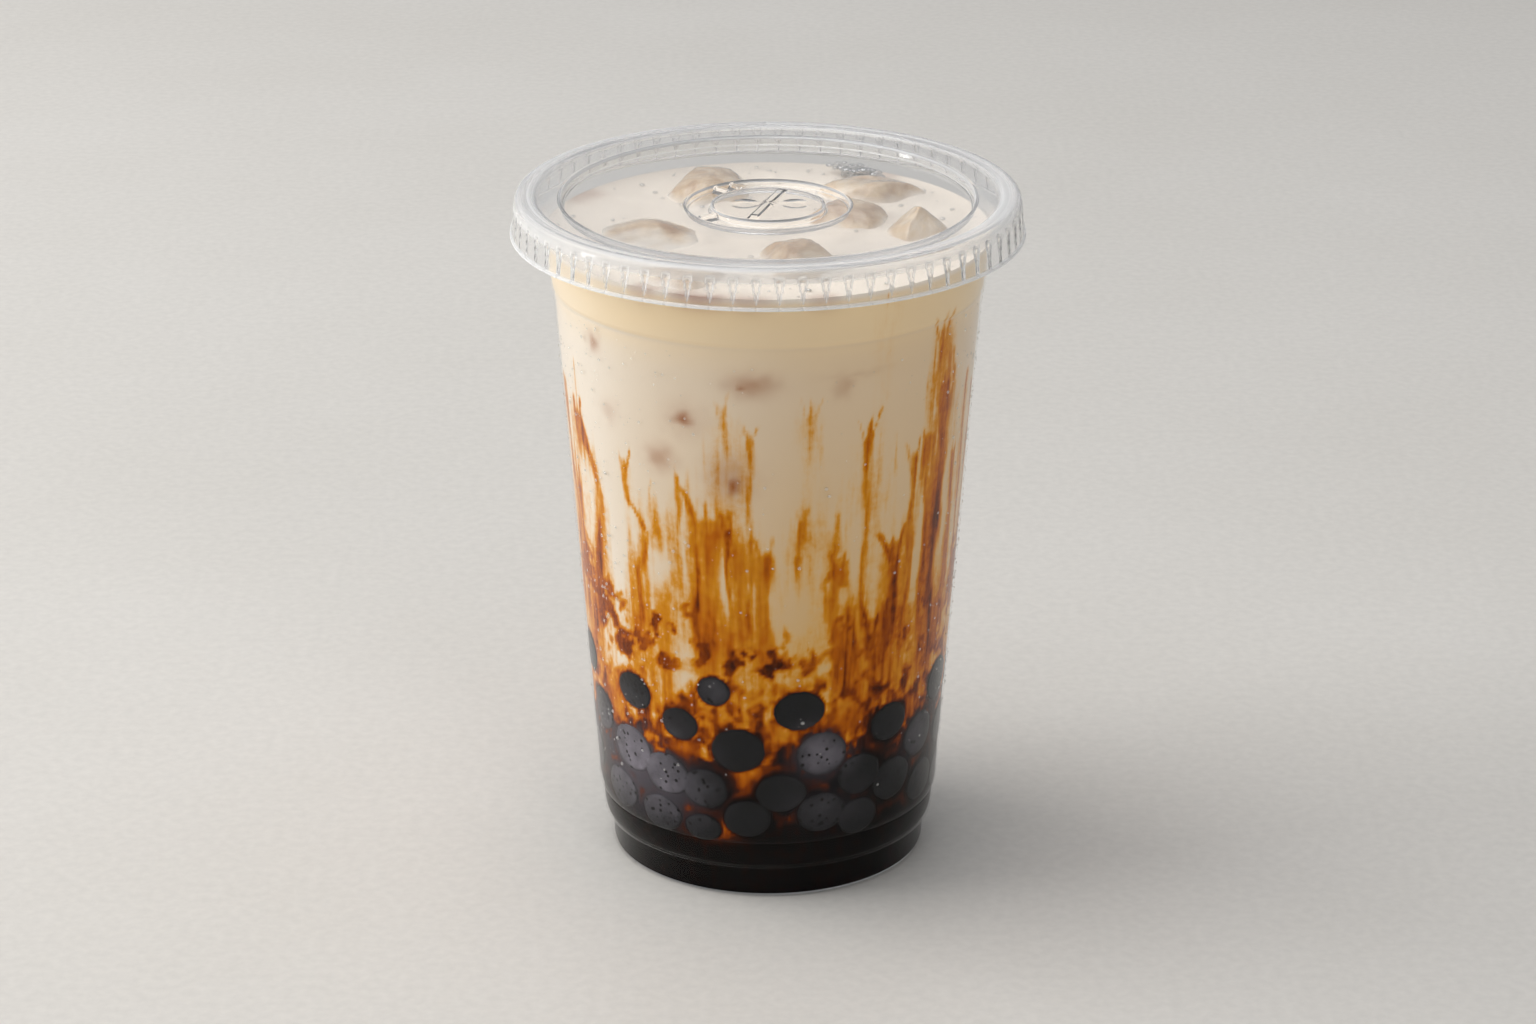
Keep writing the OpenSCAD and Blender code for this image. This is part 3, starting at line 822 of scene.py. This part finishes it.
def riseOfTop(radius, height, turn):  # the surface climbs a little at the wall and at each lump
    x, y = radius * np.sin(turn), -radius * np.cos(turn)
    onTop = height > drink["level"] - 0.05
    rise = 0.5 * np.exp(-(innerRadius(drink["level"]) + 0.8 - radius) / 1.2)
    for middle, half in iceSpots():
        away = np.hypot((x - middle.x) / half.x, (y - middle.y) / half.y) - 0.92
        rise = np.maximum(rise, 0.35 * np.exp(-(np.abs(away) * half.x / 1.3) ** 1.2))
    ripple = 0.18 * np.sin(x * 0.45 + 1.3 * np.sin(y * 0.3)) * np.sin(y * 0.38 + 0.7)
    return radius, height + np.where(onTop, np.clip(rise, 0, 0.9) + ripple * (radius < 38), 0)


def wallLine(low, high, step, into):  # the cup's inner side between two heights, a little into the wall
    inner = softened(movedLeft(cupCorners(), cup["wall"] - into))[12:]  # past the points of the base
    inner = [p for p in inner if p[1] <= cup["height"] - 6]
    radii, heights = [p[0] for p in inner], [p[1] for p in inner]
    count = max(2, int(round((high - low) / step)))
    return [(float(np.interp(z, heights, radii)), z) for z in np.linspace(low, high, count + 1)]


# The syrup from a thin golden film to the black at the foot
syrupTones = [
    (0.0, rgb(234, 200, 142)), (0.2, rgb(230, 174, 82)), (0.4, rgb(216, 142, 26)),
    (0.62, rgb(190, 100, 2)), (0.77, rgb(138, 60, 2)), (0.89, rgb(62, 24, 8)), (1.0, rgb(6, 4, 4)),
]


def teaMaterial():
    material, tree = newMaterial("milkTea")
    syrup = painted(tree, "syrup")
    tan = painted(tree, "tan")
    cream = painted(tree, "cream")
    place = addNode(tree, "TexCoord").outputs["Object"]
    stretched = addNode(tree, "Mapping", {"Vector": place, "Scale": (1.0, 1.0, 0.12)})
    threads = cloudNoise(tree, stretched.outputs[0], scale=900.0, detail=4.0, roughness=0.6)
    curds = cloudNoise(tree, place, scale=520.0, detail=4.0, roughness=0.65)
    both = math2(tree, "ADD", threads, curds)
    rough = math2(tree, "MULTIPLY_ADD", both, 0.55, -0.55)
    edge = math2(tree, "MULTIPLY", syrup, math2(tree, "SUBTRACT", 1.05, syrup))
    broken = math2(tree, "MULTIPLY_ADD", rough, math2(tree, "MULTIPLY", edge, 2.7), syrup, clamp=True)
    # the tan share holds painted shade, paler on the side towards the window lamp
    milk = mixColour(tree, tan, drink["milk"], drink["milkTan"])
    pale = math2(tree, "MAXIMUM", cream, 0.0)
    grey = math2(tree, "MULTIPLY", math2(tree, "MINIMUM", cream, 0.0), -1.0)
    milk = mixColour(tree, math2(tree, "MULTIPLY", pale, 0.62, clamp=True), milk, drink["cream"])
    # the grey tan share is the painted shade line at the stacking step
    milk = mixColour(tree, grey, milk, drink["greyTan"])
    milk = mixColour(tree, painted(tree, "onTop"), milk, drink["topMilk"])
    gold = colourRamp(tree, broken, syrupTones)
    share = colourRamp(tree, broken, [(0.06, (0, 0, 0, 1)), (0.40, (1, 1, 1, 1))], smooth=True)
    colour = mixColour(tree, share, milk, gold)
    colour = mixColour(tree, painted(tree, "spot"), colour, drink["spot"])
    # painted sheen: a purple grey reflection over the dark syrup
    colour = mixColour(tree, painted(tree, "paintedSheen"), colour, drink["paintedSheen"])
    surface = addNode(tree, "BsdfPrincipled", {"Base Color": colour, "Roughness": 0.5,
                                               "Specular IOR Level": 0.04})
    finishMaterial(tree, surface)
    return material


def paintDrink(piece, pearls):
    places = placesOf(piece)
    radius, height = np.hypot(places[:, 0], places[:, 1]) / mm, places[:, 2] / mm
    inside = (radius < innerRadius(height) - 0.6) & (height > cup["bodyFootHeight"])
    inside |= height > drink["level"] - 0.05
    syrup = syrupField(places, pearls)
    dark = np.clip((syrup - 0.8) / 0.15, 0, 1) * (height > cup["waistHeight"] + 1)
    shares = {  # at the wall, and inside or on top
        "syrup": (syrup, 0), "tan": (tanAndSideShadeField(places), 0.2), "cream": (creamField(places), 0),
        "spot": (spotField(places), lumpsUnderRim(places)),
        # the purple grey share is a painted sheen, a reflection on the dark syrup
        "paintedSheen": (0.72 * sheenField(places) * dark, 0), "onTop": (0, 1),
    }
    for name, (atWall, within) in shares.items():
        paint(piece, name, np.where(inside, within, atWall))


def makeDrink(pearls):
    material = teaMaterial()
    angles = np.linspace(0, 2 * math.pi, drink["segments"], endpoint=False)
    wallUp = wallLine(drink["join"], drink["level"], drink["rowStep"], drink["intoWall"])
    edge = wallUp[-1][0]
    top = [(edge * (1 - t), drink["level"]) for t in np.linspace(0, 1, 30)][1:]
    tea = spin("milk_tea_body", [(0, drink["join"])] + wallUp + top, angles, False, riseOfTop)
    wallDown = wallLine(drink["floor"], drink["join"], drink["rowStep"], drink["intoWall"])
    bed = spin("syrup_bed", [(0, drink["floor"])] + wallDown + [(0, drink["join"])], angles, False)
    for piece, slotName, node in ((tea, "milk_tea", "milk_tea"), (bed, "tapioca", "pearl_bed")):
        paintDrink(piece, pearls)
        piece.data.set_sharp_from_angle(angle=math.radians(50))
        attach(piece, material, slotName, node)


pearl = {
    "depth": 0.42, "intoWall": 0.22, "larger": 1.08, "lumpy": 0.035,  # larger than the disc that shows
    # the near black edge colour is painted shade at the edge of each pearl's disc
    # the purple grey colour is a painted sheen, a reflection on the pearls low on the wall
    "dark": rgb(4, 5, 5), "grey": rgb(18, 20, 24), "paintedSheen": rgb(132, 127, 137), "rim": rgb(6, 5, 5),
}


def pearlMaterial():
    material, tree = newMaterial("tapioca")
    place = addNode(tree, "TexCoord").outputs["Object"]
    blotch = cloudNoise(tree, place, scale=260.0, detail=5.0)
    pits = addNode(tree, "TexVoronoi", {"Vector": place, "Scale": 640.0}, feature="F1").outputs["Distance"]
    tone = mixColour(tree, blotch, pearl["dark"], pearl["grey"])
    paintedSheen = painted(tree, "paintedSheen")
    patchy = colourRamp(tree, blotch, [(0.3, (0.45, 0.45, 0.45, 1)), (0.7, (1, 1, 1, 1))])
    # painted sheen: a patchy purple grey reflection on the pearls
    tone = mixColour(tree, math2(tree, "MULTIPLY", paintedSheen, patchy), tone, pearl["paintedSheen"])
    # painted shade darkens each pearl towards the edge of its disc
    tone = mixColour(tree, painted(tree, "rim"), tone, pearl["rim"])
    holes = colourRamp(tree, pits, [(0.19, (0.04, 0.04, 0.04, 1)), (0.30, (1, 1, 1, 1))])
    colour = mixColour(tree, 1.0, tone, holes, "MULTIPLY")
    bump = addNode(tree, "Bump", {"Height": pits, "Strength": 0.25, "Distance": 0.0002})
    surface = addNode(tree, "BsdfPrincipled", {"Base Color": colour, "Roughness": 0.5,
                                               "Specular IOR Level": 0.22, "Normal": bump.outputs["Normal"]})
    finishMaterial(tree, surface)
    return material


def makePearls(pearls):
    body = bmesh.new()
    pick = random.Random(8)
    for angle, height, wide, high in pearls:
        half = wide / 2 * pearl["larger"]
        tall = high / 2 * pearl["larger"]
        centre = innerRadius(height) - half * pearl["depth"]
        made = bmesh.ops.create_icosphere(body, subdivisions=4 if abs(angle) < 90 else 3, radius=1)
        turn = math.radians(angle)
        out = roundCup(turn, 1, 0)
        along = Vector((math.cos(turn), math.sin(turn), 0))
        seed = pick.uniform(0, 50)
        for v in made["verts"]:
            lump = 1 + pearl["lumpy"] * noise.noise(v.co * 1.6 + Vector((seed, 0, 0)))
            x, y, z = v.co * lump
            p = out * (centre + y * half) + along * (x * half)
            z = height + z * tall
            reach = math.hypot(p.x, p.y)
            most = innerRadius(z) + pearl["intoWall"]
            if reach > most:
                p *= most / reach
            v.co = (p.x * mm, p.y * mm, z * mm)
    piece = smoothPiece("tapioca_pearls", body)
    places = placesOf(piece)
    edge = discEdge(*onWall(places), pearls)
    # painted sheen: a purple grey reflection on the pearls low on the wall
    paint(piece, "paintedSheen", sheenField(places))
    # painted shade: each pearl darkens towards the edge of its disc
    paint(piece, "rim", np.clip(1 + (edge - 0.1) / 0.8, 0, 1) * 0.85)
    attach(piece, pearlMaterial(), "tapioca", *pearlNames)


ice = {
    "power": 2.7, "rough": 0.06, "fineRough": 0.012, "chipped": 0.85, "fill": 1.12, "fromWall": 1.6,
    "deep": rgb(168, 130, 90), "tan": rgb(224, 198, 164), "pale": rgb(246, 235, 218),
    "film": rgb(250, 240, 227),
}
# Each lump: turn in degrees, how much it narrows upwards, chips knocked off
lumpForms = [
    (18, 0.12, 3), (32, 0.05, 3), (-20, 0.08, 2), (50, 0.62, 2),
    (8, 0.16, 3), (15, 0.04, 3), (8, 0.1, 2), (-28, 0.1, 3),
]


def iceMaterial():
    material, tree = newMaterial("wetIce")
    place = addNode(tree, "TexCoord").outputs["Object"]
    cloud = cloudNoise(tree, place, scale=120.0, detail=6.0, roughness=0.6, distortion=0.5)
    tone = colourRamp(tree, cloud, [(0.32, ice["deep"]), (0.52, ice["tan"]), (0.74, ice["pale"])])
    film = painted(tree, "film")
    tone = mixColour(tree, film, tone, ice["film"])
    fine = cloudNoise(tree, place, scale=600.0, detail=3.0)
    bump = addNode(tree, "Bump", {"Height": fine, "Strength": 0.5, "Distance": 0.0006})
    surface = addNode(tree, "BsdfPrincipled", {"Base Color": tone, "Roughness": 0.2, "Coat Weight": 1.0,
                                               "Coat Roughness": 0.03, "Normal": bump.outputs["Normal"]})
    finishMaterial(tree, surface)
    return material


def makeIce():
    body = bmesh.new()
    pick = random.Random(21)
    for name, (turn, taper, chips) in zip(iceNames, lumpForms):
        low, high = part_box(name)
        middle, half = (low + high) / 2, (high - low) / 2
        planes = [(Vector((pick.uniform(-1, 1), pick.uniform(-1, 1), pick.uniform(0, 0.9))).normalized(),
                   pick.uniform(0.86, 0.96)) for k in range(chips)]
        made = bmesh.ops.create_icosphere(body, subdivisions=5, radius=1)
        cosine, sine = math.cos(math.radians(turn)), math.sin(math.radians(turn))
        for v in made["verts"]:
            p = v.co.copy()
            p /= sum(abs(c) ** ice["power"] for c in p) ** (1 / ice["power"])
            for normal, reach in planes:
                over = p.dot(normal) - reach
                if over > 0:  # a chip leaves a nearly flat face
                    p -= normal * over * ice["chipped"]
            dents = ice["rough"] * noise.noise(p * 1.7 + Vector((turn, 0, 0)))
            p *= 1 + dents + ice["fineRough"] * noise.noise(p * 7)
            narrow = 1 - taper * max(0, p.z + 0.1) ** 1.2
            x, y = p.x * narrow, p.y * narrow
            turned = Vector((x * cosine - y * sine, x * sine + y * cosine, p.z)) * ice["fill"]
            p = middle + Vector((turned.x * half.x, turned.y * half.y, turned.z * half.z))
            most = (innerRadius(p.z / mm) - ice["fromWall"]) * mm
            inward = min(1, most / max(math.hypot(p.x, p.y), mm))
            v.co = (p.x * inward, p.y * inward, p.z)
    piece = smoothPiece("ice_lumps", body)
    places = placesOf(piece)
    above = places[:, 2] / mm - drink["level"]
    paint(piece, "film", np.clip(1.0 - above / 1.3 + 0.7 * noiseAt(places, 14, (230, 230, 230)), 0, 1))
    attach(piece, iceMaterial(), "ice", *iceNames)


bubbles = {"count": 170, "small": 0.2, "large": 0.75, "foam": 60, "foamTurn": 153, "gloss": 0.34}
dew = {"count": 1500, "small": 0.14, "large": 0.5, "gloss": 0.24}


def wetFilm(name, gloss):
    return filmMaterial(name, (0.97, 0.97, 0.96, 1), slant=3.0, most=0.7, least=gloss, roughness=0.04)


def beads(name, drops, material, slotName, detail):  # drops are (place in mm, radius, way out)
    body = bmesh.new()
    for place, radius, out in drops:
        made = bmesh.ops.create_icosphere(body, subdivisions=detail, radius=radius * mm)
        for v in made["verts"]:
            depth = v.co.dot(out)
            v.co -= out * depth * (0.45 if depth > 0 else 0.8)  # a low dome, and flatter underneath
            v.co += place * mm
    attach(smoothPiece(name, body), material, slotName)


def makeBubbles():
    pick = random.Random(77)
    edge = innerRadius(drink["level"]) - 0.6
    up = Vector((0, 0, 1))
    lumps = iceSpots()
    found = []
    for k in range(bubbles["count"]):
        radius = bubbles["small"] + (bubbles["large"] - bubbles["small"]) * pick.random() ** 3
        if k % 3:  # two in three gather round the ice
            middle, half = lumps[pick.randrange(len(lumps))]
            turn = pick.uniform(0, 2 * math.pi)
            place = Vector((middle.x + math.cos(turn) * (half.x * 1.02 + radius),
                            middle.y + math.sin(turn) * (half.y * 1.02 + radius), drink["level"] + 0.25))
        else:
            turn = math.radians(pick.uniform(-180, 180))
            place = roundCup(turn, edge - radius - pick.random() ** 2 * 6, drink["level"] + 0.2)
        if math.hypot(place.x, place.y) < edge - radius:
            found.append((place, radius, up))
    for k in range(bubbles["foam"]):  # clear froth caught at the back of the rim
        turn = math.radians(pick.gauss(bubbles["foamTurn"], 3.6))
        away = edge - 1.0 - abs(pick.gauss(0, 2.0))
        radius = pick.uniform(0.5, 1.7)
        if away < edge - radius:
            place = roundCup(turn, away, drink["level"] + 0.3 + pick.uniform(0, 2.2))
            found.append((place, radius, up))
    beads("milk_bubbles", found, wetFilm("bubbleFilm", bubbles["gloss"]), "milk_tea", 2)


def makeDew():
    pick = random.Random(4)
    found = []
    low, high = cup["bodyFootHeight"] + 6, cup["neckHeight"] - 1
    for k in range(dew["count"]):
        # thickest at the right and left sides
        angle = pick.choice((pick.gauss(84, 16), pick.gauss(-62, 24), pick.uniform(-180, 180)))
        height = low + (high - low) * pick.random() ** 0.8
        radius = dew["small"] + (dew["large"] - dew["small"]) * pick.random() ** 4
        turn = math.radians(angle)
        out = roundCup(turn, 1, -0.07).normalized()
        found.append((roundCup(turn, innerRadius(height) + cup["wall"], height), radius, out))
    beads("dew", found, wetFilm("dewDrops", dew["gloss"]), "clear_sheet", 1)


makeCamera()
makeFloor()
makeLight()
print("studio ready")
pearls = restOfTheRing()
print("pearls at the wall", len(pearls))
makeCup()
makeLid()
makeDrink(pearls)
makePearls(pearls)
makeIce()
makeBubbles()
makeDew()
